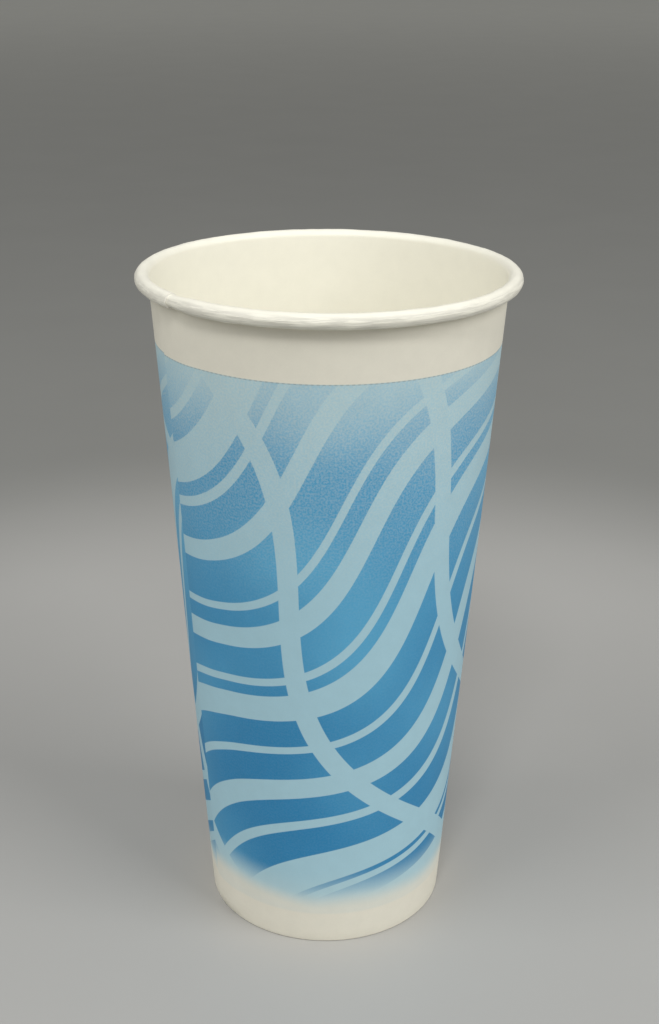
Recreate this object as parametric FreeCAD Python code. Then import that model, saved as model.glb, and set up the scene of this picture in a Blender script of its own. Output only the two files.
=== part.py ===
import FreeCAD
import Part
import math
import os

# Tall tapered paper drinking cup, in millimetres.
# The axis is +Z and the foot stands on z = 0.
# Azimuths are in degrees from +X, counter-clockwise from above.

# Overall sizes
cup_height = 168.0
rim_outer_diameter = 90.0
foot_outer_diameter = 61.0

# Paper
wall_sheet = 0.4
base_sheet = 0.35
glue_gap = 0.05

# Rolled rim: a large outer turn that tightens into a tail
rim_roll_radius = 1.75
rim_tail_radius = 0.85
rim_tail_sweep = 110.0

# Foot: the wall is folded inwards and up, round the skirt of the base
hem_height = 7.5
foot_corner_radius = 0.3

# Base: a disc with a skirt that points down
base_recess = 9.0
base_bend_radius = 1.0

# Side seam: the outer end of the blank lies over the inner end
seam_azimuth = 206.5
lap_angle = 9.5
ramp_angle = 4.0
ramp_clearance = 0.05

# Directions
ORIGIN = FreeCAD.Vector(0, 0, 0)
AXIS = FreeCAD.Vector(0, 0, 1)
FULL_TURN = 360.0
DOWN = -90.0
UP = 90.0

# Wall: its slant is tangent to the rolled rim
foot_radius = foot_outer_diameter / 2
roll_r = rim_outer_diameter / 2 - rim_roll_radius
roll_z = cup_height - rim_roll_radius
roll_reach = roll_r - foot_radius
slant = (math.acos((rim_roll_radius - wall_sheet) / math.hypot(roll_reach, roll_z))
         - math.atan2(roll_z, roll_reach))
outwards = -math.degrees(slant)
inwards = outwards - FULL_TURN / 2

# Foot channel that holds the skirt of the base
channel_width = base_sheet + 2 * glue_gap
channel_floor = wall_sheet + channel_width / 2
hem_near = -channel_width
hem_far = hem_near - wall_sheet

# Ends of the side seam
lap_end_azimuth = seam_azimuth + lap_angle
ramp_end_azimuth = lap_end_azimuth + ramp_angle


def point(r, z):
    """A point of the section, in the plane of the axis and +X."""
    return FreeCAD.Vector(r, 0, z)


def layer_point(z, depth):
    """A point at height z and at a depth measured outwards from the wall's inner face."""
    outer_face = foot_radius + z * math.tan(slant)
    return point(outer_face + (depth - wall_sheet) / math.cos(slant), z)


def arc(centre, radius, start, end):
    """An arc of the section between two angles in degrees."""
    spots = []
    for degrees in (start, (start + end) / 2, end):
        angle = math.radians(degrees)
        spots.append(centre + point(radius * math.cos(angle), radius * math.sin(angle)))
    return Part.Arc(*spots).toShape()


def outline(steps):
    """A closed wire through arcs and corner points in turn, with straight lines between them."""
    edges = []
    for step, following in zip(steps, steps[1:] + steps[:1]):
        leave = step
        if isinstance(step, Part.Edge):
            edges.append(step)
            leave = step.lastVertex(True).Point
        reach = following
        if isinstance(following, Part.Edge):
            reach = following.firstVertex(True).Point
        if not leave.isEqual(reach, FreeCAD.Base.Precision.confusion()):
            edges.append(Part.LineSegment(leave, reach).toShape())
    return Part.Wire(edges)


def rim_turn(depth, start, end):
    """The outer turn of the rolled rim, at a depth in the sheet."""
    return arc(point(roll_r, roll_z), rim_roll_radius - depth, start, end)


def rim_tail(depth, start, end):
    """The tighter tail that ends inside the roll."""
    tail_z = roll_z - rim_roll_radius + rim_tail_radius
    return arc(point(roll_r, tail_z), rim_tail_radius - depth, start, end)


def foot_corner(depth, side, start, end):
    """A rounded corner of the foot, where a face at some depth meets the ground."""
    face = layer_point(foot_corner_radius, depth)
    centre = face + point(side * foot_corner_radius / math.cos(slant), 0)
    return arc(centre, foot_corner_radius, start, end)


def wall_section():
    """One sheet: hem, fold at the foot, wall and rolled rim."""
    tail_end = DOWN - rim_tail_sweep
    channel = layer_point(channel_floor, -channel_width / 2)
    return outline([
        rim_turn(0, inwards + FULL_TURN, DOWN),
        rim_tail(0, DOWN, tail_end),
        rim_tail(wall_sheet, tail_end, DOWN),
        rim_turn(wall_sheet, DOWN, inwards + FULL_TURN),
        foot_corner(wall_sheet, -1, outwards, DOWN),
        foot_corner(hem_far, 1, DOWN, inwards),
        layer_point(hem_height, hem_far),
        layer_point(hem_height, hem_near),
        arc(channel, channel_width / 2, inwards, outwards),
    ])


def wall_layer(near, far, bottom):
    """A layer between two depths that follows the wall and the outer turn of the rim."""
    return outline([
        layer_point(bottom, near),
        rim_turn(near, inwards + FULL_TURN, DOWN),
        rim_turn(far, DOWN, inwards + FULL_TURN),
        layer_point(bottom, far),
    ])


def hem_layer(near, far):
    """A layer between two depths along the hem."""
    return outline([
        layer_point(foot_corner_radius, near),
        layer_point(hem_height, near),
        layer_point(hem_height, far),
        layer_point(foot_corner_radius, far),
    ])


def turned(shape, azimuth):
    copy = shape.copy()
    copy.rotate(ORIGIN, AXIS, azimuth)
    return copy


def carried_round(section, azimuth, sweep):
    """A section carried round the axis from an azimuth."""
    return turned(Part.Face(section), azimuth).revolve(ORIGIN, AXIS, sweep)


def ramp(lap_section, faded_section):
    """A body that fades from the end of the lap to the end of the ramp."""
    stations = [turned(lap_section, lap_end_azimuth), turned(faded_section, ramp_end_azimuth)]
    return Part.makeLoft(stations, True, True)


def lap(lap_section, faded_section):
    """The second sheet over the lap, with the ramp where it falls back to one sheet."""
    return carried_round(lap_section, seam_azimuth, lap_angle).fuse(ramp(lap_section, faded_section))


def cup_wall():
    """The wrapped blank: one sheet all round, doubled at the side seam."""
    root = wall_sheet / 2
    faded = wall_sheet - ramp_clearance
    sheet = carried_round(wall_section(), 0, FULL_TURN)
    outer_lap = lap(wall_layer(root, 2 * wall_sheet, foot_corner_radius),
                    wall_layer(root, faded, foot_corner_radius))
    hem_lap = lap(hem_layer(hem_near - root, hem_far - wall_sheet),
                  hem_layer(hem_near - root, hem_far + ramp_clearance))
    inner_step = ramp(wall_layer(-wall_sheet, wall_sheet, base_recess),
                      wall_layer(-wall_sheet, -ramp_clearance, base_recess))
    return sheet.fuse([outer_lap, hem_lap]).cut(inner_step).removeSplitter()


def cup_base():
    """A disc whose edge is bent down into a skirt, held between wall and hem."""
    base_top = base_recess + base_sheet
    skirt_face = -glue_gap
    skirt_back = skirt_face - base_sheet
    bend_z = base_top - base_bend_radius
    bend = layer_point(bend_z, skirt_face) - point(base_bend_radius / math.cos(slant), 0)
    section = outline([
        point(0, base_recess),
        arc(bend, base_bend_radius - base_sheet, UP, outwards),
        layer_point(channel_floor, skirt_back),
        layer_point(channel_floor, skirt_face),
        arc(bend, base_bend_radius, outwards, UP),
        point(0, base_top),
    ])
    return carried_round(section, 0, FULL_TURN)


def main():
    os.makedirs("parts", exist_ok=True)
    pieces = {"cup_wall": cup_wall(), "cup_base": cup_base()}
    for name, piece in pieces.items():
        solid = piece.Solids[0]
        print(name, piece.isValid(), len(piece.Solids), round(solid.Volume, 1), solid.BoundBox)
        solid.exportStep(os.path.join("parts", name + ".step"))


main()
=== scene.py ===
import math

import bmesh
import bpy
from bpy.props import FloatProperty, FloatVectorProperty, IntProperty, PointerProperty
from bpy.types import Operator, Panel, PropertyGroup
from mathutils import Matrix, Quaternion, Vector, noise


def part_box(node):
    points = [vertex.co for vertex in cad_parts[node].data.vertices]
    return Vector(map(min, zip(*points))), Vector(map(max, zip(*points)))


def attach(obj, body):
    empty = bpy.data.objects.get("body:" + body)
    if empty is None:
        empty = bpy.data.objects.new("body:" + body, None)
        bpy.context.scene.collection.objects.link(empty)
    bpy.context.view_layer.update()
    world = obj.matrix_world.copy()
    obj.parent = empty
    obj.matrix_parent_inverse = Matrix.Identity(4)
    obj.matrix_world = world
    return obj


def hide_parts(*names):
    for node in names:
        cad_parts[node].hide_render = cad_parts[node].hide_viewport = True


bl_info = {
    "name": "Tapered Paper Cup",
    "version": (1, 0, 0),
    "blender": (4, 5, 0),
    "location": "View3D > Sidebar > Paper Cup",
    "description": "Builds a printed paper cup with a lapped side seam, a rolled rim and a folded foot",
    "category": "Add Mesh",
}

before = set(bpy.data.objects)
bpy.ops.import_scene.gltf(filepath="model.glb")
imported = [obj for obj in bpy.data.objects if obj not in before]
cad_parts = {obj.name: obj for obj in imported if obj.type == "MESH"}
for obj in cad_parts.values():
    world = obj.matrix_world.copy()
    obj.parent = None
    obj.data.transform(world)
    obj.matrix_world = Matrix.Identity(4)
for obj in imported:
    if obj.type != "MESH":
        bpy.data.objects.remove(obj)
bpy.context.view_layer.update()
WALL_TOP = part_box("cup_wall")[1]
BASE_LOW, BASE_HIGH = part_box("cup_base")

MM = 0.001
WELD = 2e-6
SHARP_ANGLE = math.radians(38)
MAP_NAME = "OFBake"
MAP_MARGIN = 0.001
AXIS_TURN = {"cent": (0, 0, 0), "axis": (0, 0, 1)}

# Parts that each stretch of the wall's section is drawn in
WALL_PARTS = 56
ROLL_PARTS = 28
ROLL_BACK_PARTS = 16
TAIL_PARTS = 8
CORNER_PARTS = 4
FOOT_PARTS = 2
HEM_PARTS = 5
CHANNEL_PARTS = 4
CHANNEL_TURN_PARTS = 6

# Parts that each stretch of the base's section is drawn in
DISC_PARTS = 26
BEND_PARTS = 7
BEND_BACK_PARTS = 5
SKIRT_PARTS = 6

# Steps round the axis
LAP_COLUMNS = 12
RAMP_COLUMNS = 16
BASE_COLUMNS = 230

# Stretches of the wall's section, in the order in which they are drawn
INSIDE, ROLL, TAIL, END, TAIL_BACK, ROLL_BACK, OUTSIDE, FOOT, HEM, HEM_END, CHANNEL = range(11)
OUTER_SIDE = {TAIL_BACK, ROLL_BACK, OUTSIDE, FOOT, HEM}
CUT_ENDS = {END, HEM_END}

# Material slots of the wall
PRINTED, COATED, RAW = range(3)


def length(name, description, default):
    """A size in metres."""
    return FloatProperty(name=name, description=description, default=default, min=0.0,
                         precision=5, subtype="DISTANCE", unit="LENGTH")


def angle(name, description, degrees):
    """An angle, given here in degrees."""
    return FloatProperty(name=name, description=description, default=math.radians(degrees),
                         subtype="ANGLE", unit="ROTATION")


def colour(name, description, default):
    """A linear colour without alpha."""
    return FloatVectorProperty(name=name, description=description, default=default, size=3,
                               min=0.0, max=1.0, subtype="COLOR")


def count(name, description, default):
    """A whole number of parts."""
    return IntProperty(name=name, description=description, default=default, min=1)


def power(name, description, default):
    """A lamp's power in watts."""
    return FloatProperty(name=name, description=description, default=default, min=0.0, unit="POWER")


class CupSizes(PropertyGroup):
    """Sizes of the two paper pieces."""
    height: length("Height", "From the foot to the top of the rolled rim", WALL_TOP.z)
    rim_radius: length("Rim radius", "Outer radius of the rolled rim", WALL_TOP.x)
    foot_radius: length("Foot radius", "Outer radius of the wall at the foot", 30.5 * MM)
    sheet: length("Wall sheet", "Thickness of the wall's paper", 0.4 * MM)
    roll_radius: length("Roll radius", "Outer radius of the rim's first turn", 1.75 * MM)
    tail_radius: length("Tail radius", "Outer radius of the turn that ends inside the roll", 0.85 * MM)
    tail_sweep: angle("Tail sweep", "How far the tail turns inside the roll", 110)
    hem_height: length("Hem height", "Height of the turned-in hem", 7.5 * MM)
    corner_radius: length("Foot corner", "Radius of the two corners of the folded foot", 0.45 * MM)
    base_sheet: length("Base sheet", "Thickness of the base's paper", 0.35 * MM)
    glue_gap: length("Glue gap", "Gap on each side of the base's skirt", 0.05 * MM)
    base_top: length("Base top", "Height of the base's upper face", BASE_HIGH.z)
    skirt_end: length("Skirt end", "Height of the skirt's cut end", BASE_LOW.z)
    bend_radius: length("Base bend", "Outer radius of the bend from disc to skirt", 1.0 * MM)
    seam: angle("Seam", "Azimuth of the outer cut edge, from +X", 206.5)
    lap: angle("Lap", "How far the two ends of the blank overlap", 11.5)
    ramp: angle("Ramp", "How far the sheet takes to fall back after the lap", 12)
    step: angle("Step", "Width in azimuth of a cut edge's face", 0.02)
    wave: length("Wave", "Largest unevenness of the wall", 0.16 * MM)
    crease: length("Crease", "Largest crease in the rolled rim", 0.12 * MM)
    pucker: length("Pucker", "Largest gather where the base's edge is bent down", 0.05 * MM)
    columns: count("Columns", "Steps round the wall, apart from the seam", 360)


class CupColours(PropertyGroup):
    """Colours of paper and ink, linear."""
    board: colour("Board", "Bare outer side of the paper", (0.81, 0.778, 0.662))
    film: colour("Coated side", "Inner side of the paper and the rim", (0.925, 0.900, 0.778))
    # Crease: painted shade, tinting the crease troughs on the outer, lower part of the roll
    crease: colour("Crease", "Troughs of the creases in the rolled rim", (0.45, 0.43, 0.38))
    raw_edge: colour("Raw edge", "Fibres at a cut edge", (0.82, 0.80, 0.72))
    deep_ink: colour("Deep ink", "Darkest blue of the field", (0.022, 0.225, 0.455))
    light_ink: colour("Light ink", "Palest blue of the field", (0.120, 0.440, 0.675))
    ribbon_ink: colour("Ribbon ink", "Pale blue of the ribbons", (0.385, 0.610, 0.700))
    haze_ink: colour("Haze ink", "Tint where the field fades out", (0.455, 0.650, 0.705))
    border_ink: colour("Border ink", "Fine line along the print's upper edge", (0.24, 0.32, 0.34))
    floor: colour("Floor", "Floor round the cup", (0.425, 0.42, 0.40))
    # Far floor: painted shade, darkening the floor a little way from the cup
    far_floor_shade: colour("Far floor", "Floor a good way from the cup", (0.255, 0.255, 0.24))
    horizon: colour("Horizon", "Floor at its far edge", (0.62, 0.62, 0.57))
    backdrop: colour("Backdrop", "What the camera sees past the floor", (0.17, 0.17, 0.16))


class CupPrint(PropertyGroup):
    """Layout of the print on the flat blank."""
    top: length("Top", "Height of the print's upper edge", 151.9 * MM)
    bottom: length("Bottom", "Height below which the paper is bare", 9.2 * MM)
    fade: length("Fade", "Height over which the field fades out at the bottom", 10 * MM)
    haze: length("Haze", "Height over which the field grows pale under the upper edge", 34 * MM)
    tilt: angle("Tilt", "Slope of the ribbons on the flat blank", 38)
    pitch: length("Pitch", "From one ribbon to the next", 23 * MM)
    width: length("Width", "Mean width of a ribbon", 7.5 * MM)
    fine_width: length("Fine width", "Mean width of the fine ribbon between two others", 2.4 * MM)
    sway: length("Sway", "How far a ribbon swings to each side", 8 * MM)
    wave: length("Wave length", "Length of a ribbon's wave", 100 * MM)
    crossing_tilt: angle("Crossing tilt", "Slope of the ribbons that cross the others", -64)
    crossing_pitch: length("Crossing pitch", "From one crossing ribbon to the next", 43 * MM)
    crossing_width: length("Crossing width", "Mean width of a crossing ribbon", 5 * MM)
    dot_pitch: length("Dot pitch", "From dot to dot in the border line", 1.25 * MM)


class CupStage(PropertyGroup):
    """Camera, floor and lamps."""
    distance: length("Camera distance", "From the cup's axis to the camera, along the floor", 339.05 * MM)
    eye_height: length("Camera height", "From the floor to the camera", 244.49 * MM)
    pitch: angle("Camera pitch", "How far the camera looks down", 22.167)
    yaw: angle("Camera yaw", "How far the camera looks to the right of the axis", 0.074)
    roll: angle("Camera roll", "How far the camera is turned about its own axis", 0.395)
    lens: FloatProperty(name="Lens", description="Focal length for a 36 mm long side, in millimetres",
                        default=51.86)
    floor_radius: length("Floor radius", "Radius of the round floor", 6.0)
    world_light: FloatProperty(name="World light", description="Strength of the even light", default=0.33)
    key_light: power("Key light", "Power of the panel high in front", 11.3)
    left_light: power("Left light", "Power of the wide panel at the left", 13.5)
    right_light: power("Right light", "Power of the wide panel at the right", 22.5)


class WallShape:
    """The wall's section, worked out from the sizes."""

    def __init__(self, sizes):
        self.sizes = sizes
        self.roll_centre = Vector((sizes.rim_radius - sizes.roll_radius, 0,
                                   sizes.height - sizes.roll_radius))
        reach = self.roll_centre.x - sizes.foot_radius
        rise = self.roll_centre.z
        self.slant = (math.acos((sizes.roll_radius - sizes.sheet) / math.hypot(reach, rise))
                      - math.atan2(rise, reach))
        self.outwards = Vector((math.cos(self.slant), 0, -math.sin(self.slant)))
        self.channel_width = sizes.base_sheet + 2 * sizes.glue_gap
        self.hem_depth = -self.channel_width - sizes.sheet

    def face_point(self, z, depth):
        """A point of the section at height z, at a depth outwards from the wall's inner face."""
        outer = self.sizes.foot_radius + z * math.tan(self.slant)
        return Vector((outer + (depth - self.sizes.sheet) / math.cos(self.slant), 0, z))

    def corner_centre(self, depth, side):
        """Centre of a foot corner on the face at a depth, on its inner (-1) or outer (1) side."""
        radius = self.sizes.corner_radius
        return self.face_point(radius, depth) + Vector((side * radius / math.cos(self.slant), 0, 0))


class Section:
    """Draws a closed section in the plane of the axis and +X, one stretch after another."""

    def __init__(self, start, zone):
        self.bm = bmesh.new()
        self.zone = self.bm.verts.layers.int.new("zone")
        self.along = self.bm.verts.layers.float.new("along")
        self.head = self.bm.verts.new(start)
        self.head[self.zone] = zone

    def grow(self, zone):
        """A new point joined to the last one, still in the same place."""
        last = self.head
        self.head = bmesh.ops.extrude_vert_indiv(self.bm, verts=[last])["verts"][0]
        self.head[self.zone] = zone
        return last

    def measure(self, last):
        """Notes how far along the section the new point lies."""
        self.head[self.along] = last[self.along] + (self.head.co - last.co).length

    def line(self, end, parts, zone):
        """A straight stretch in equal parts."""
        start = self.head.co.copy()
        for part in range(parts):
            last = self.grow(zone)
            self.head.co = start.lerp(end, (part + 1) / parts)
            self.measure(last)

    def arc(self, centre, turn, parts, zone):
        """An arc about a centre. A positive turn goes from +Z towards +X."""
        step = Matrix.Rotation(turn / parts, 3, "Y")
        for _ in range(parts):
            last = self.grow(zone)
            bmesh.ops.rotate(self.bm, cent=centre, matrix=step, verts=[self.head])
            self.measure(last)

    def close(self):
        """Welds the last point to the first, where they meet, and hands over the mesh."""
        bmesh.ops.remove_doubles(self.bm, verts=self.bm.verts[:], dist=WELD)
        return self.bm


def wall_section(shape):
    """The wall's single sheet: inside, roll, tail, outside, foot and hem."""
    sizes = shape.sizes
    sheet = sizes.sheet
    half_channel = shape.channel_width / 2
    channel_z = sheet + half_channel
    roll_turn = math.pi * 1.5 - shape.slant
    tail_centre = shape.roll_centre - Vector((0, 0, sizes.roll_radius - sizes.tail_radius))
    roll_start = shape.roll_centre - shape.outwards * sizes.roll_radius
    outer_corner = shape.corner_centre(sheet, -1)
    inner_corner = shape.corner_centre(shape.hem_depth, 1)

    section = Section(shape.face_point(channel_z, 0), INSIDE)
    section.line(roll_start, WALL_PARTS, INSIDE)
    section.arc(shape.roll_centre, roll_turn, ROLL_PARTS, ROLL)
    section.arc(tail_centre, sizes.tail_sweep, TAIL_PARTS, TAIL)
    towards_centre = (tail_centre - section.head.co).normalized()
    section.line(section.head.co + towards_centre * sheet, 1, END)
    section.arc(tail_centre, -sizes.tail_sweep, TAIL_PARTS, TAIL_BACK)
    section.arc(shape.roll_centre, -roll_turn, ROLL_BACK_PARTS, ROLL_BACK)
    section.line(outer_corner + shape.outwards * sizes.corner_radius, WALL_PARTS, OUTSIDE)
    section.arc(outer_corner, math.pi / 2 - shape.slant, CORNER_PARTS, FOOT)
    section.line(inner_corner - Vector((0, 0, sizes.corner_radius)), FOOT_PARTS, FOOT)
    section.arc(inner_corner, math.pi / 2 + shape.slant, CORNER_PARTS, FOOT)
    section.line(shape.face_point(sizes.hem_height, shape.hem_depth), HEM_PARTS, HEM)
    section.line(shape.face_point(sizes.hem_height, -shape.channel_width), 1, HEM_END)
    section.line(shape.face_point(channel_z, -shape.channel_width), CHANNEL_PARTS, CHANNEL)
    section.arc(shape.face_point(channel_z, -half_channel), -math.pi, CHANNEL_TURN_PARTS, CHANNEL)
    return section.close()


def spin_wall(bm, sizes):
    """Carries the section round the axis, with close columns at the two cut edges."""
    bmesh.ops.rotate(bm, cent=(0, 0, 0), matrix=Matrix.Rotation(sizes.seam, 3, "Z"), verts=bm.verts)
    rest = math.tau - sizes.lap - sizes.ramp - 2 * sizes.step
    cut = (sizes.step, 1)
    stretches = [(sizes.lap, LAP_COLUMNS), cut, (sizes.ramp, RAMP_COLUMNS), (rest, sizes.columns), cut]
    ring = bm.verts[:] + bm.edges[:]
    for sweep, steps in stretches:
        made = bmesh.ops.spin(bm, geom=ring, **AXIS_TURN, angle=sweep, steps=steps)
        ring = made["geom_last"]
    bmesh.ops.remove_doubles(bm, verts=bm.verts, dist=WELD)
    bmesh.ops.recalc_face_normals(bm, faces=bm.faces)


def smooth_step(value):
    """From 0 to 1 without a corner, held at both ends."""
    value = min(max(value, 0.0), 1.0)
    return value * value * (3 - 2 * value)


def past_seam(co, sizes):
    """The azimuth past the outer cut edge, from 0 up to a full turn."""
    return (math.atan2(co.y, co.x) - sizes.seam + sizes.step / 4) % math.tau


def lay_over(bm, shape):
    """Lifts the outer end of the blank over the inner one, and steps the inside down behind it."""
    sizes = shape.sizes
    zones = bm.verts.layers.int["zone"]
    for vert in bm.verts:
        zone = vert[zones]
        turned = past_seam(vert.co, sizes)
        beyond = turned - sizes.lap - sizes.step / 2
        falling = 1 - smooth_step(beyond / sizes.ramp)
        inner_end = falling if beyond > 0 else 0.0
        radius = math.hypot(vert.co.x, vert.co.y)
        rise = vert.co.z
        away = shape.outwards
        if zone in (ROLL, ROLL_BACK):
            away = (shape.roll_centre - Vector((radius, 0, rise))).normalized()
        off_foot = smooth_step(rise / (3 * sizes.corner_radius))
        lift = 0.0
        if zone in (OUTSIDE, ROLL_BACK):
            lift = falling * off_foot
        elif zone == HEM:
            lift = -falling * off_foot
        elif zone in (INSIDE, ROLL):
            lift = inner_end * smooth_step((rise - sizes.base_top) / sizes.bend_radius)
        move_in_section(vert, away * lift * sizes.sheet)


def move_in_section(vert, shift):
    """Moves a point by a shift in its own section: x along the radius, z up."""
    azimuth = math.atan2(vert.co.y, vert.co.x)
    vert.co += Vector((math.cos(azimuth) * shift.x, math.sin(azimuth) * shift.x, shift.z))


def soften(bm, shape):
    """The small unevenness of rolled and wrapped paper."""
    sizes = shape.sizes
    zones = bm.verts.layers.int["zone"]
    along = bm.verts.layers.float["along"]
    wave_length, wave_start = 34 * MM, 20 * MM
    crease_length, crease_width, crease_share = 7.0 * MM, 0.55 * MM, 0.6
    gather_length, gather_width, gather_share = 2.2 * MM, 2.4 * MM, 0.4
    roll_start = 1.2 * MM
    for vert in bm.verts:
        zone = vert[zones]
        azimuth = math.atan2(vert.co.y, vert.co.x)
        around = Vector((math.cos(azimuth), math.sin(azimuth), 0)) * shape.roll_centre.x
        rise = min(vert.co.z, shape.roll_centre.z)
        foot_fade = smooth_step((rise - sizes.base_top) / wave_start)
        wave = noise.noise(around / wave_length + Vector((0, 0, rise / wave_length / 2)))
        shift = Vector((wave * foot_fade * sizes.wave, 0, 0))
        if zone == ROLL:
            radius = math.hypot(vert.co.x, vert.co.y)
            out = (Vector((radius, 0, vert.co.z)) - shape.roll_centre).normalized()
            crease = noise.noise(around / crease_length + Vector((0, 0, vert[along] / crease_width)))
            gather = noise.noise(around / gather_length + Vector((0, 0, vert[along] / gather_width)))
            fade = smooth_step((vert[along] - shape.roll_centre.z) / roll_start)
            shift += out * (crease_share * crease + gather_share * gather) * fade * sizes.crease
        move_in_section(vert, shift)


def finish_wall_faces(bm, shape):
    """Gives each face its material, and marks the edges that stay crisp."""
    zones = bm.verts.layers.int["zone"]
    for face in bm.faces:
        found = {vert[zones] for vert in face.verts}
        face.material_index = COATED
        if found & OUTER_SIDE:
            face.material_index = PRINTED
        if found & CUT_ENDS or is_cut_edge(face, shape.sizes):
            face.material_index = RAW
        face.smooth = True
    for edge in bm.edges:
        edge.smooth = edge.calc_face_angle(0.0) < SHARP_ANGLE


def is_cut_edge(face, sizes):
    """True for the narrow faces of the blank's two ends, which look along the wall's turn."""
    steep = 0.5
    centre = face.calc_center_median()
    turned = past_seam(centre, sizes)
    inner_end = abs(turned - sizes.lap - sizes.step / 2) < sizes.step
    outer_end = min(turned, math.tau - turned) < sizes.step
    outwards = Vector((centre.x, centre.y, 0)).normalized()
    sideways = abs(face.normal.dot(outwards)) < steep and abs(face.normal.z) < steep
    return sideways and (inner_end or outer_end)


def unroll(bm, sizes):
    """A map of the unrolled sheet: the turn past the seam across, the way along the section up."""
    along = bm.verts.layers.float["along"]
    span = max(vert[along] for vert in bm.verts) + 2 * sizes.sheet
    half_map = 0.5
    layer = bm.loops.layers.uv.new(MAP_NAME)
    for face in bm.faces:
        spots = [Vector((past_seam(loop.vert.co, sizes) / math.tau, loop.vert[along] / span))
                 for loop in face.loops]
        for axis in (0, 1):
            if max(spot[axis] for spot in spots) - min(spot[axis] for spot in spots) > half_map:
                for spot in spots:
                    spot[axis] += spot[axis] < half_map
        for loop, spot in zip(face.loops, spots):
            loop[layer].uv = MAP_MARGIN * Vector((1, 1)) + (1 - 2 * MAP_MARGIN) * spot


def add_piece(name, bm, node, materials):
    """A finished mesh as a piece that stands for a solid."""
    mesh = bpy.data.meshes.new(name)
    bm.to_mesh(mesh)
    bm.free()
    piece = bpy.data.objects.new(name, mesh)
    bpy.context.scene.collection.objects.link(piece)
    for material in materials:
        mesh.materials.append(material)
    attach(piece, "root")
    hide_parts(node)
    return piece


def base_section(shape):
    """Half of the base's section: disc, bend and skirt."""
    sizes = shape.sizes
    face_depth = -sizes.glue_gap
    bend = shape.face_point(sizes.base_top - sizes.bend_radius, face_depth)
    bend.x -= sizes.bend_radius / math.cos(shape.slant)
    turn = math.pi / 2 + shape.slant
    underside = sizes.base_top - sizes.base_sheet

    section = Section(Vector((0, 0, sizes.base_top)), INSIDE)
    section.line(Vector((bend.x, 0, sizes.base_top)), DISC_PARTS, INSIDE)
    section.arc(bend, turn, BEND_PARTS, ROLL)
    section.line(shape.face_point(sizes.skirt_end, face_depth), SKIRT_PARTS, CHANNEL)
    section.line(shape.face_point(sizes.skirt_end, face_depth - sizes.base_sheet), 1, END)
    inner_bend = bend + shape.outwards * (sizes.bend_radius - sizes.base_sheet)
    section.line(inner_bend, SKIRT_PARTS, CHANNEL)
    section.arc(bend, -turn, BEND_BACK_PARTS, ROLL)
    section.line(Vector((0, 0, underside)), DISC_PARTS, OUTSIDE)
    return section.close()


def gather_base(bm, shape):
    """A faint dome in the disc, and the gathers where its edge is bent down."""
    sizes = shape.sizes
    dome = 0.25 * MM
    gathers, gather_depth = 46, 3.2 * MM
    unevenness, least = 9, 0.6
    edge = BASE_HIGH.x
    for vert in bm.verts:
        radius = math.hypot(vert.co.x, vert.co.y)
        azimuth = math.atan2(vert.co.y, vert.co.x)
        near_edge = smooth_step((radius - edge + gather_depth) / gather_depth)
        around = Vector((math.cos(azimuth), math.sin(azimuth), 0)) * unevenness
        crimp = math.sin(gathers * azimuth) * (least + noise.noise(around))
        on_disc = smooth_step((vert.co.z - sizes.base_top + 2 * sizes.bend_radius) / sizes.bend_radius)
        level = dome * (1 - smooth_step(radius / edge))
        vert.co.z += (level - near_edge * abs(crimp) * sizes.pucker) * on_disc


class CUP_OT_wall(Operator):
    """Builds the wrapped wall with its seam, rolled rim and folded foot"""
    bl_idname = "cup.wall"
    bl_label = "Cup Wall"

    def execute(self, context):
        shape = WallShape(context.scene.cup_sizes)
        bm = wall_section(shape)
        spin_wall(bm, shape.sizes)
        lay_over(bm, shape)
        bm.normal_update()
        finish_wall_faces(bm, shape)
        unroll(bm, shape.sizes)
        soften(bm, shape)
        bm.normal_update()
        colours = context.scene.cup_colours
        printed = printed_board(shape, colours, context.scene.cup_print)
        materials = [printed, coated_paper(colours, shape.sizes), raw_paper(colours)]
        add_piece("cup_wall_sheet", bm, "cup_wall", materials)
        return {"FINISHED"}


class CUP_OT_base(Operator):
    """Builds the base disc with the skirt that the foot holds"""
    bl_idname = "cup.base"
    bl_label = "Cup Base"

    def execute(self, context):
        shape = WallShape(context.scene.cup_sizes)
        bm = base_section(shape)
        bmesh.ops.spin(bm, geom=bm.verts[:] + bm.edges[:], **AXIS_TURN, angle=math.tau,
                       steps=BASE_COLUMNS, use_merge=True)
        bmesh.ops.remove_doubles(bm, verts=bm.verts, dist=WELD)
        bmesh.ops.recalc_face_normals(bm, faces=bm.faces)
        zones = bm.verts.layers.int["zone"]
        for face in bm.faces:
            face.smooth = True
            if any(vert[zones] == END for vert in face.verts):
                face.material_index = 1
        gather_base(bm, shape)
        for edge in bm.edges:
            edge.smooth = edge.calc_face_angle(0.0) < SHARP_ANGLE
        bm.normal_update()
        colours = context.scene.cup_colours
        add_piece("cup_base_disc", bm, "cup_base",
                  [coated_paper(colours, shape.sizes), raw_paper(colours)])
        return {"FINISHED"}


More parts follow.
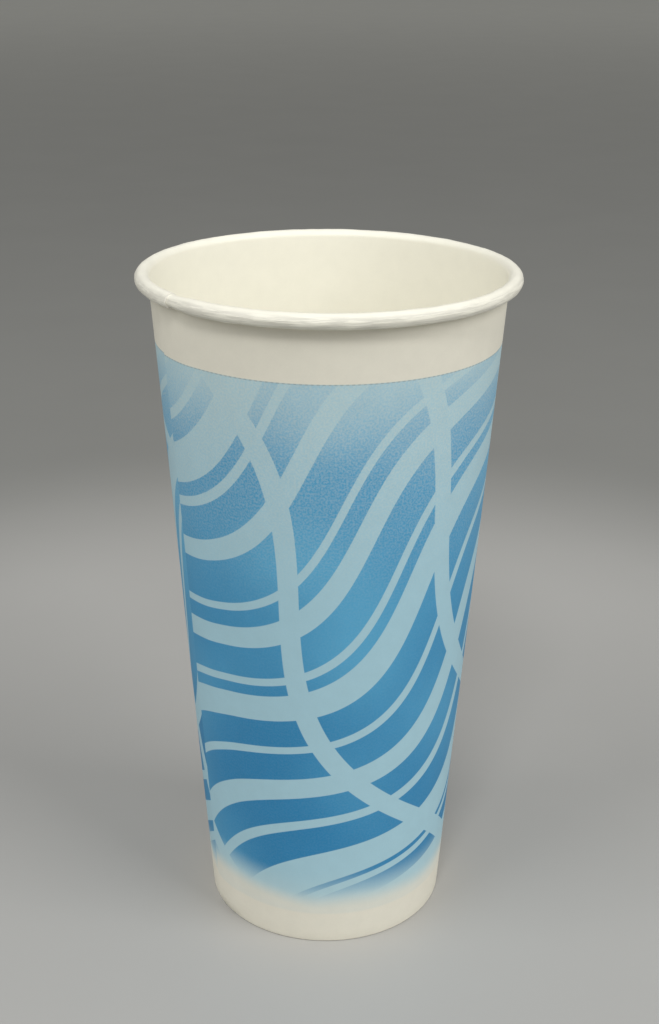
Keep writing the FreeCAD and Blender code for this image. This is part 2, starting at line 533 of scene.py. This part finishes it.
class Graph:
    """Short calls for building a tree of shader nodes."""

    def __init__(self, tree):
        self.tree = tree
        tree.nodes.clear()

    def node(self, kind, **settings):
        made = self.tree.nodes.new(kind)
        for name, value in settings.items():
            setattr(made, name, value)
        return made

    def feed(self, socket, value):
        """Links a socket, or sets a plain value."""
        if isinstance(value, bpy.types.NodeSocket):
            self.tree.links.new(value, socket)
        else:
            socket.default_value = value

    def math(self, operation, *values, clamp=False):
        made = self.node("ShaderNodeMath", operation=operation, use_clamp=clamp)
        for socket, value in zip(made.inputs, values):
            self.feed(socket, value)
        return made.outputs[0]

    def weighed(self, first, first_share, second, second_share):
        """The sum of two values, each times its share."""
        return self.math("ADD", self.math("MULTIPLY", first, first_share),
                         self.math("MULTIPLY", second, second_share))

    def over(self, value, start, span):
        """How far a value has come from a start over a span, from 0 to 1."""
        return self.math("DIVIDE", self.math("SUBTRACT", value, start), span, clamp=True)

    def between(self, value, low, high, out_low=0.0, out_high=1.0, smooth=True):
        """Value from a range to another range, held at its ends."""
        made = self.node("ShaderNodeMapRange", clamp=True,
                         interpolation_type="SMOOTHSTEP" if smooth else "LINEAR")
        for socket, number in zip(made.inputs, (value, low, high, out_low, out_high)):
            self.feed(socket, number)
        return made.outputs[0]

    def blend(self, factor, first, second, mode="MIX"):
        made = self.node("ShaderNodeMix", data_type="RGBA", blend_type=mode)
        self.feed(made.inputs["Factor"], factor)
        self.feed(made.inputs["A"], first)
        self.feed(made.inputs["B"], second)
        return made.outputs["Result"]

    def grey(self, value):
        """A value as a grey colour."""
        made = self.node("ShaderNodeCombineColor")
        for socket in made.inputs:
            self.feed(socket, value)
        return made.outputs[0]

    def noise(self, vector, scale, detail=2.0, roughness=0.5):
        made = self.node("ShaderNodeTexNoise")
        self.feed(made.inputs["Vector"], vector)
        self.feed(made.inputs["Scale"], scale)
        self.feed(made.inputs["Detail"], detail)
        self.feed(made.inputs["Roughness"], roughness)
        return made.outputs["Fac"]

    def stretched(self, vector, scale):
        made = self.node("ShaderNodeMapping")
        self.feed(made.inputs["Vector"], vector)
        made.inputs["Scale"].default_value = scale
        return made.outputs["Vector"]

    def group(self, tree, **inputs):
        made = self.node("ShaderNodeGroup", node_tree=tree)
        for name, value in inputs.items():
            self.feed(made.inputs[name], value)
        return made


def four(rgb):
    """A colour with full alpha."""
    return (*rgb, 1.0)


def new_group(name, inputs, outputs):
    """An empty node group with its sockets. Returns it with its graph and its inner ends."""
    tree = bpy.data.node_groups.new(name, "ShaderNodeTree")
    for socket, kind in inputs.items():
        tree.interface.new_socket(name=socket, in_out="INPUT", socket_type=kind)
    for socket, kind in outputs.items():
        tree.interface.new_socket(name=socket, in_out="OUTPUT", socket_type=kind)
    graph = Graph(tree)
    return tree, graph, graph.node("NodeGroupInput").outputs, graph.node("NodeGroupOutput").inputs


def once(name, build):
    """A node group by name, built the first time it is asked for."""
    return bpy.data.node_groups.get(name) or build(name)


def build_fibre_group(name):
    """Paper close up: a cloudy, grainy tone, and the height of grain and fibres."""
    tree, graph, inside, out = new_group(
        name,
        {"Vector": "NodeSocketVector"},
        {"Tone": "NodeSocketFloat", "Height": "NodeSocketFloat"},
    )
    place = inside["Vector"]
    upright = (1.0, 1.0, 0.3)
    cloud = graph.noise(place, scale=260.0, detail=3.0, roughness=0.55)
    grain = graph.noise(place, scale=2600.0, detail=3.0, roughness=0.65)
    fibres = graph.noise(graph.stretched(place, upright), scale=1500.0, detail=2.0, roughness=0.6)
    height = graph.weighed(grain, 0.5, fibres, 0.5)
    tone = graph.weighed(cloud, 0.6, grain, 0.4)
    graph.feed(out["Tone"], tone)
    graph.feed(out["Height"], height)
    return tree


def build_ribbon_group(name):
    """Parallel wavy ribbons on the flat blank, whose places and widths vary from one to the next."""
    numbers = ("Across", "Along", "Tilt", "Pitch", "Width", "Vary", "Sway", "Wave", "Phase", "Shift",
               "Seed")
    soft_edge = 0.12
    first_place, last_place = 0.36, 0.64
    tree, graph, inside, out = new_group(
        name,
        {socket: "NodeSocketFloat" for socket in numbers},
        {"Mask": "NodeSocketFloat"},
    )
    cosine = graph.math("COSINE", inside["Tilt"])
    sine = graph.math("SINE", inside["Tilt"])
    way = graph.math("ADD", graph.math("MULTIPLY", inside["Across"], cosine),
                     graph.math("MULTIPLY", inside["Along"], sine))
    side = graph.math("SUBTRACT", graph.math("MULTIPLY", inside["Along"], cosine),
                      graph.math("MULTIPLY", inside["Across"], sine))
    turn = graph.math("MULTIPLY", graph.math("DIVIDE", way, inside["Wave"]), math.tau)
    wave = graph.math("SINE", graph.math("ADD", turn, inside["Phase"]))
    swing = graph.math("MULTIPLY", wave, inside["Sway"])
    flow = graph.math("SUBTRACT", graph.math("SUBTRACT", side, swing), inside["Shift"])
    cells = graph.math("DIVIDE", flow, inside["Pitch"])
    chance = graph.node("ShaderNodeTexWhiteNoise", noise_dimensions="1D")
    graph.feed(chance.inputs["W"], graph.math("ADD", graph.math("FLOOR", cells), inside["Seed"]))
    parts = graph.node("ShaderNodeSeparateColor")
    graph.feed(parts.inputs["Color"], chance.outputs["Color"])
    centre = graph.between(parts.outputs["Red"], 0.0, 1.0, first_place, last_place, smooth=False)
    stray = graph.math("MULTIPLY", graph.math("SUBTRACT", parts.outputs["Green"], 0.5),
                       graph.math("MULTIPLY", inside["Vary"], 2.0))
    half = graph.math("MULTIPLY", graph.math("MULTIPLY", inside["Width"], 0.5),
                      graph.math("ADD", stray, 1.0))
    off = graph.math("ABSOLUTE", graph.math("SUBTRACT", graph.math("FRACT", cells), centre))
    clear = graph.math("SUBTRACT", graph.math("MULTIPLY", off, inside["Pitch"]), half)
    graph.feed(out["Mask"], graph.between(clear, -soft_edge, soft_edge, 1.0, 0.0))
    return tree


def flat_blank(graph, place, shape):
    """Place on the flat blank in millimetres: across from the front, up from the foot, and the height."""
    sizes = shape.sizes
    front = math.radians(270)
    parts = graph.node("ShaderNodeSeparateXYZ")
    graph.feed(parts.inputs[0], place)
    azimuth = graph.math("ARCTAN2", parts.outputs["Y"], parts.outputs["X"])
    turn = graph.math("FRACT", graph.math("DIVIDE", graph.math("SUBTRACT", azimuth, sizes.seam), math.tau))
    from_front = graph.math("SUBTRACT", graph.math("MULTIPLY", turn, math.tau), front - sizes.seam)
    swing = graph.math("MULTIPLY", from_front, math.sin(shape.slant))
    apex_drop = sizes.foot_radius / math.tan(shape.slant)
    reach = graph.math("DIVIDE", graph.math("ADD", parts.outputs["Z"], apex_drop),
                       math.cos(shape.slant) * MM)
    foot_reach = apex_drop / math.cos(shape.slant) / MM
    across = graph.math("MULTIPLY", reach, graph.math("SINE", swing))
    along = graph.math("SUBTRACT", graph.math("MULTIPLY", reach, graph.math("COSINE", swing)), foot_reach)
    rise = graph.math("DIVIDE", parts.outputs["Z"], MM)
    return across, along, rise, graph.math("MULTIPLY", reach, swing)


def ribbon_pattern(graph, across, along, layout):
    """Wide ribbons with fine ones between them, and a few that cross them."""
    ribbons = once("ribbons", build_ribbon_group)
    stream = {"Tilt": layout.tilt, "Pitch": layout.pitch / MM, "Sway": layout.sway / MM,
              "Wave": layout.wave / MM, "Phase": 1.4}
    crossing = {"Tilt": layout.crossing_tilt, "Pitch": layout.crossing_pitch / MM,
                "Sway": 1.25 * layout.sway / MM, "Wave": 1.4 * layout.wave / MM, "Phase": 1.0}
    sets = (
        {**stream, "Width": layout.width / MM, "Vary": 0.5, "Shift": 0.2 * layout.pitch / MM, "Seed": 4.0},
        {**stream, "Width": layout.fine_width / MM, "Vary": 0.2, "Shift": 0.7 * layout.pitch / MM,
         "Seed": 9.0},
        {**crossing, "Width": layout.crossing_width / MM, "Vary": 0.35, "Shift": 9.0, "Seed": 2.0},
    )
    mask = 0.0
    for settings in sets:
        made = graph.group(ribbons, Across=across, Along=along, **settings)
        mask = graph.math("MAXIMUM", made.outputs["Mask"], mask)
    return mask


def printed_board(shape, colours, layout):
    """Outer side of the paper: bare bands, and a graded blue field crossed by pale ribbons."""
    material = bpy.data.materials.new("printed board")
    material.use_nodes = True
    graph = Graph(material.node_tree)
    place = graph.node("ShaderNodeTexCoord").outputs["Object"]
    across, along, rise, way_round = flat_blank(graph, place, shape)
    ribbons = ribbon_pattern(graph, across, along, layout)
    top, bottom, fade, haze = (size / MM for size in (layout.top, layout.bottom, layout.fade, layout.haze))
    haze_wander, foot_wander = 24.0, 8.0

    flat = graph.node("ShaderNodeCombineXYZ")
    graph.feed(flat.inputs["X"], across)
    graph.feed(flat.inputs["Y"], along)
    airbrush = graph.noise(flat.outputs[0], scale=0.03, detail=1.0)
    field = graded_field(graph, flat.outputs[0], rise, top, colours)
    design = graph.blend(ribbons, field, four(colours.ribbon_ink))

    haze_start = graph.math("ADD", top - 1.08 * haze, graph.math("MULTIPLY", airbrush, haze_wander))
    hazy = graph.between(graph.over(rise, haze_start, haze), 0.0, 1.0)
    design = graph.blend(hazy, design, four(colours.haze_ink))
    low = graph.math("MULTIPLY", graph.math("SUBTRACT", airbrush, 0.3), foot_wander)
    low = graph.math("ADD", low, bottom)
    above_foot = graph.over(rise, graph.math("ADD", low, 0.25 * fade), fade)
    design = graph.blend(graph.between(above_foot, 0.0, 1.0), four(colours.haze_ink), design)
    cover = ink_cover(graph, flat.outputs[0], rise, low, layout)

    fibre = graph.group(once("paper fibre", build_fibre_group), Vector=place)
    tone = graph.between(fibre.outputs["Tone"], 0.3, 0.7, 0.965, 1.02, smooth=False)
    tint = graph.blend(cover, four(colours.board), design)
    tint = graph.blend(border_beads(graph, rise, way_round, layout), tint, four(colours.border_ink))
    tint = graph.blend(1.0, tint, graph.grey(tone), "MULTIPLY")
    roughness = graph.between(cover, 0.0, 1.0, 0.68, 0.55)
    finish_paper(graph, tint, roughness, fibre.outputs["Height"], depth=0.05 * MM, gloss=0.3)
    return material


def graded_field(graph, flat, rise, top, colours):
    """Blue that drifts between the deep and the light ink, and grows lighter towards the top."""
    drift = graph.between(graph.noise(flat, scale=0.017, detail=1.0), 0.40, 0.78, 0.0, 0.8)
    lift = graph.between(rise, 0.3 * top, 0.9 * top, 0.0, 0.6)
    shade = graph.math("ADD", drift, lift, clamp=True)
    return graph.blend(shade, four(colours.deep_ink), four(colours.light_ink))


def ink_cover(graph, flat, rise, low, layout):
    """How much ink lies on the paper: faint at its lower end, grainy in its upper part."""
    top, bottom, fade = layout.top / MM, layout.bottom / MM, layout.fade / MM
    faintest, crisp = 0.16, 0.1
    grain_start, grain_end = 90.0, 140.0
    least_grain, most_grain = 0.03, 0.26
    veil = graph.math("MULTIPLY",
                      graph.between(graph.over(rise, low, 0.6 * fade), 0.0, 1.0, faintest, 1.0),
                      graph.between(rise, bottom - 0.7, bottom + 0.3))
    cover = graph.math("MULTIPLY", veil, graph.between(rise, top - crisp, top + crisp, 1.0, 0.0))
    speckle = graph.between(graph.noise(flat, scale=2.0, detail=1.0, roughness=0.6), 0.3, 0.7)
    coarse = graph.between(rise, grain_start, grain_end, least_grain, most_grain)
    grain = graph.math("SUBTRACT", 1.0, graph.math("MULTIPLY", coarse, speckle))
    return graph.math("MULTIPLY", cover, grain)


def border_beads(graph, rise, way_round, layout):
    """The fine beaded line along the print's upper edge."""
    top = layout.top / MM
    line_depth, softness = 0.28, 0.12
    faintest, strongest = 0.25, 0.6
    dots = graph.math("SINE", graph.math("MULTIPLY", way_round, math.tau * MM / layout.dot_pitch))
    line = graph.math("MULTIPLY", graph.between(rise, top - line_depth, top - softness),
                      graph.between(rise, top, top + softness, 1.0, 0.0))
    return graph.math("MULTIPLY", graph.between(dots, -0.6, 0.6, faintest, strongest), line)


def finish_paper(graph, tint, roughness, height, depth, gloss):
    """The surface that every paper material ends in."""
    bump = graph.node("ShaderNodeBump")
    bump.inputs["Strength"].default_value = 0.3
    bump.inputs["Distance"].default_value = depth
    graph.feed(bump.inputs["Height"], height)
    shader = graph.node("ShaderNodeBsdfPrincipled")
    graph.feed(shader.inputs["Base Color"], tint)
    graph.feed(shader.inputs["Roughness"], roughness)
    graph.feed(shader.inputs["Normal"], bump.outputs["Normal"])
    shader.inputs["Specular IOR Level"].default_value = gloss
    out = graph.node("ShaderNodeOutputMaterial")
    graph.feed(out.inputs["Surface"], shader.outputs[0])


def rim_crease_bump_and_shade(graph, place, sizes):
    """Fine creases along the outer and lower part of the roll, as a mask of their troughs, for their bump
    and for painted shade in them.
    """
    round_rim, across_roll = 7.0, 3.4
    parts = graph.node("ShaderNodeSeparateXYZ")
    graph.feed(parts.inputs[0], place)
    azimuth = graph.math("ARCTAN2", parts.outputs["Y"], parts.outputs["X"])
    radius = graph.math("SQRT", graph.math("ADD", graph.math("POWER", parts.outputs["X"], 2.0),
                                           graph.math("POWER", parts.outputs["Y"], 2.0)))
    in_roll = graph.math("SUBTRACT", radius, sizes.rim_radius - sizes.roll_radius)
    over_roll = graph.math("SUBTRACT", parts.outputs["Z"], sizes.height - sizes.roll_radius)
    round_roll = graph.math("ARCTAN2", over_roll, in_roll)
    wrap = graph.node("ShaderNodeCombineXYZ")
    graph.feed(wrap.inputs["X"], graph.math("MULTIPLY", graph.math("COSINE", azimuth), round_rim))
    graph.feed(wrap.inputs["Y"], graph.math("MULTIPLY", graph.math("SINE", azimuth), round_rim))
    graph.feed(wrap.inputs["Z"], graph.math("MULTIPLY", round_roll, across_roll))
    streaks = graph.noise(wrap.outputs[0], scale=1.0, detail=3.0, roughness=0.62)
    troughs = graph.between(streaks, 0.42, 0.60, 1.0, 0.0)
    # Only on the outer, lower part of the roll, where the painted shade falls; the bump follows the same
    # mask
    outer_part = graph.math("MULTIPLY", graph.between(round_roll, 0.35, 1.15, 1.0, 0.0),
                            graph.between(in_roll, 0.0, 0.4 * MM))
    return graph.math("MULTIPLY", troughs, outer_part)


def start_paper(name, base, lowest, highest):
    """A new paper material: its graph, place, tinted tone and fibre group."""
    material = bpy.data.materials.new(name)
    material.use_nodes = True
    graph = Graph(material.node_tree)
    place = graph.node("ShaderNodeTexCoord").outputs["Object"]
    fibre = graph.group(once("paper fibre", build_fibre_group), Vector=place)
    tone = graph.between(fibre.outputs["Tone"], 0.3, 0.7, lowest, highest, smooth=False)
    return material, graph, place, graph.blend(1.0, four(base), graph.grey(tone), "MULTIPLY"), fibre


def coated_paper(colours, sizes):
    """Smooth film-coated paper, creased where it is rolled into the rim, with painted shade in the crease
    troughs.
    """
    name = "coated paper"
    if name in bpy.data.materials:
        return bpy.data.materials[name]
    material, graph, place, tint, fibre = start_paper(name, colours.film, 0.975, 1.015)
    crease_bump_and_shade = rim_crease_bump_and_shade(graph, place, sizes)
    # Painted shade: the crease troughs are tinted towards the crease colour
    tint = graph.blend(graph.math("MULTIPLY", crease_bump_and_shade, 0.32), tint, four(colours.crease))
    height = graph.math("SUBTRACT", graph.math("MULTIPLY", fibre.outputs["Height"], 0.15), crease_bump_and_shade)
    roughness = graph.between(fibre.outputs["Tone"], 0.35, 0.65, 0.38, 0.5)
    finish_paper(graph, tint, roughness, height, depth=0.2 * MM, gloss=0.4)
    return material


def raw_paper(colours):
    """The fibres of a cut edge."""
    name = "raw paper"
    if name in bpy.data.materials:
        return bpy.data.materials[name]
    material, graph, _, tint, fibre = start_paper(name, colours.raw_edge, 0.94, 1.02)
    roughness = graph.between(fibre.outputs["Tone"], 0.35, 0.65, 0.85, 0.95)
    finish_paper(graph, tint, roughness, fibre.outputs["Height"], depth=0.08 * MM, gloss=0.2)
    return material


class CUP_OT_stage(Operator):
    """Sets the floor with its backdrop, the lamps, the world and the camera"""
    bl_idname = "cup.stage"
    bl_label = "Stage"

    def execute(self, context):
        stage = context.scene.cup_stage
        add_floor(stage, context.scene.cup_colours)
        add_lamps(stage)
        set_world(stage, context.scene.cup_colours)
        add_camera(stage)
        context.scene.view_settings.view_transform = "Standard"
        return {"FINISHED"}


def add_floor(stage, colours):
    """A round floor, flat and far wider than the picture."""
    bm = bmesh.new()
    bmesh.ops.create_circle(bm, cap_ends=True, segments=96, radius=stage.floor_radius)
    mesh = bpy.data.meshes.new("floor")
    bm.to_mesh(mesh)
    bm.free()
    floor = bpy.data.objects.new("floor", mesh)
    bpy.context.scene.collection.objects.link(floor)
    mesh.materials.append(floor_material(colours))


def floor_material(colours):
    """A plain pale tabletop, faintly cloudy, with painted shade that darkens it a little way off, and
    paler far away.
    """
    material = bpy.data.materials.new("pale floor")
    material.use_nodes = True
    graph = Graph(material.node_tree)
    place = graph.node("ShaderNodeTexCoord").outputs["Object"]
    cloud = graph.noise(place, scale=14.0, detail=3.0)
    tone = graph.between(cloud, 0.3, 0.7, 0.985, 1.015, smooth=False)
    away = graph.node("ShaderNodeVectorMath", operation="LENGTH")
    graph.feed(away.inputs[0], place)
    near_end, far_start = 0.20, 0.36
    far_end, horizon_start = 0.7, 4.2
    # Painted shade: the floor darkens between near_end and far_start, leaving a paler patch round the cup
    tint = graph.blend(graph.between(away.outputs["Value"], near_end, far_start), four(colours.floor),
                       four(colours.far_floor_shade))
    tint = graph.blend(graph.between(away.outputs["Value"], far_end, horizon_start), tint,
                       four(colours.horizon))
    shader = graph.node("ShaderNodeBsdfPrincipled")
    graph.feed(shader.inputs["Base Color"], graph.blend(1.0, tint, graph.grey(tone), "MULTIPLY"))
    shader.inputs["Roughness"].default_value = 0.5
    out = graph.node("ShaderNodeOutputMaterial")
    graph.feed(out.inputs["Surface"], shader.outputs[0])
    return material


def add_panel_lamp(name, energy, azimuth, elevation, side):
    """A soft square lamp, seen from the cup's rim at an azimuth and elevation, that faces the rim."""
    distance = 2.0
    rim = Vector((0, 0, WALL_TOP.z))
    away = Vector((math.cos(math.radians(azimuth)) * math.cos(math.radians(elevation)),
                   math.sin(math.radians(azimuth)) * math.cos(math.radians(elevation)),
                   math.sin(math.radians(elevation))))
    light = bpy.data.lights.new(name, "AREA")
    light.size = side
    light.energy = energy
    lamp = bpy.data.objects.new(name, light)
    lamp.location = rim + away * distance
    lamp.rotation_mode = "QUATERNION"
    lamp.rotation_quaternion = (-away).to_track_quat("-Z", "Y")
    bpy.context.scene.collection.objects.link(lamp)


def add_lamps(stage):
    """One small panel high in front, and two wide ones at the sides."""
    add_panel_lamp("key panel", stage.key_light, azimuth=262, elevation=50, side=0.4)
    add_panel_lamp("left panel", stage.left_light, azimuth=208, elevation=40, side=1.2)
    add_panel_lamp("right panel", stage.right_light, azimuth=330, elevation=36, side=1.2)


def set_world(stage, colours):
    """Even light all round. The camera and the gloss see the plain backdrop colour in its place."""
    world = bpy.data.worlds.new("studio")
    world.use_nodes = True
    graph = Graph(world.node_tree)
    rays = graph.node("ShaderNodeLightPath").outputs
    seen = graph.math("MAXIMUM", rays["Is Camera Ray"],
                      graph.math("MAXIMUM", rays["Is Glossy Ray"], rays["Is Transmission Ray"]))
    light = graph.node("ShaderNodeBackground")
    light.inputs["Strength"].default_value = stage.world_light
    light.inputs["Color"].default_value = (1.0, 1.0, 1.0, 1.0)
    backdrop = graph.node("ShaderNodeBackground")
    backdrop.inputs["Color"].default_value = four(colours.backdrop)
    mix = graph.node("ShaderNodeMixShader")
    graph.feed(mix.inputs[0], seen)
    graph.feed(mix.inputs[1], light.outputs[0])
    graph.feed(mix.inputs[2], backdrop.outputs[0])
    out = graph.node("ShaderNodeOutputWorld")
    graph.feed(out.inputs["Surface"], mix.outputs[0])
    bpy.context.scene.world = world


def add_camera(stage):
    """The camera at the photograph's place and angle."""
    data = bpy.data.cameras.new("camera")
    data.lens = stage.lens
    camera = bpy.data.objects.new("camera", data)
    camera.location = (0, -stage.distance, stage.eye_height)
    forward = Vector((math.sin(stage.yaw) * math.cos(stage.pitch),
                      math.cos(stage.yaw) * math.cos(stage.pitch), -math.sin(stage.pitch)))
    camera.rotation_mode = "QUATERNION"
    level = forward.to_track_quat("-Z", "Y")
    camera.rotation_quaternion = level @ Quaternion((0, 0, 1), stage.roll)
    bpy.context.scene.collection.objects.link(camera)
    bpy.context.scene.camera = camera


class CUP_PT_panel(Panel):
    """Lists the sizes, colours and operators in the sidebar"""
    bl_idname = "CUP_PT_panel"
    bl_label = "Paper Cup"
    bl_space_type = "VIEW_3D"
    bl_region_type = "UI"
    bl_category = "Paper Cup"

    def draw(self, context):
        layout = self.layout
        for operator in OPERATORS:
            layout.operator(operator.bl_idname)
        scene = context.scene
        for settings in (scene.cup_sizes, scene.cup_colours, scene.cup_print, scene.cup_stage):
            box = layout.box()
            for name in settings.__annotations__:
                box.prop(settings, name)


SETTINGS = (CupSizes, CupColours, CupPrint, CupStage)
OPERATORS = (CUP_OT_wall, CUP_OT_base, CUP_OT_stage)


def register():
    for kind in (*SETTINGS, *OPERATORS, CUP_PT_panel):
        bpy.utils.register_class(kind)
    bpy.types.Scene.cup_sizes = PointerProperty(type=CupSizes)
    bpy.types.Scene.cup_colours = PointerProperty(type=CupColours)
    bpy.types.Scene.cup_print = PointerProperty(type=CupPrint)
    bpy.types.Scene.cup_stage = PointerProperty(type=CupStage)


def unregister():
    del bpy.types.Scene.cup_stage
    del bpy.types.Scene.cup_print
    del bpy.types.Scene.cup_colours
    del bpy.types.Scene.cup_sizes
    for kind in reversed((*SETTINGS, *OPERATORS, CUP_PT_panel)):
        bpy.utils.unregister_class(kind)


def main():
    register()
    bpy.ops.cup.wall()
    bpy.ops.cup.base()
    bpy.ops.cup.stage()


if __name__ == "__main__":
    main()
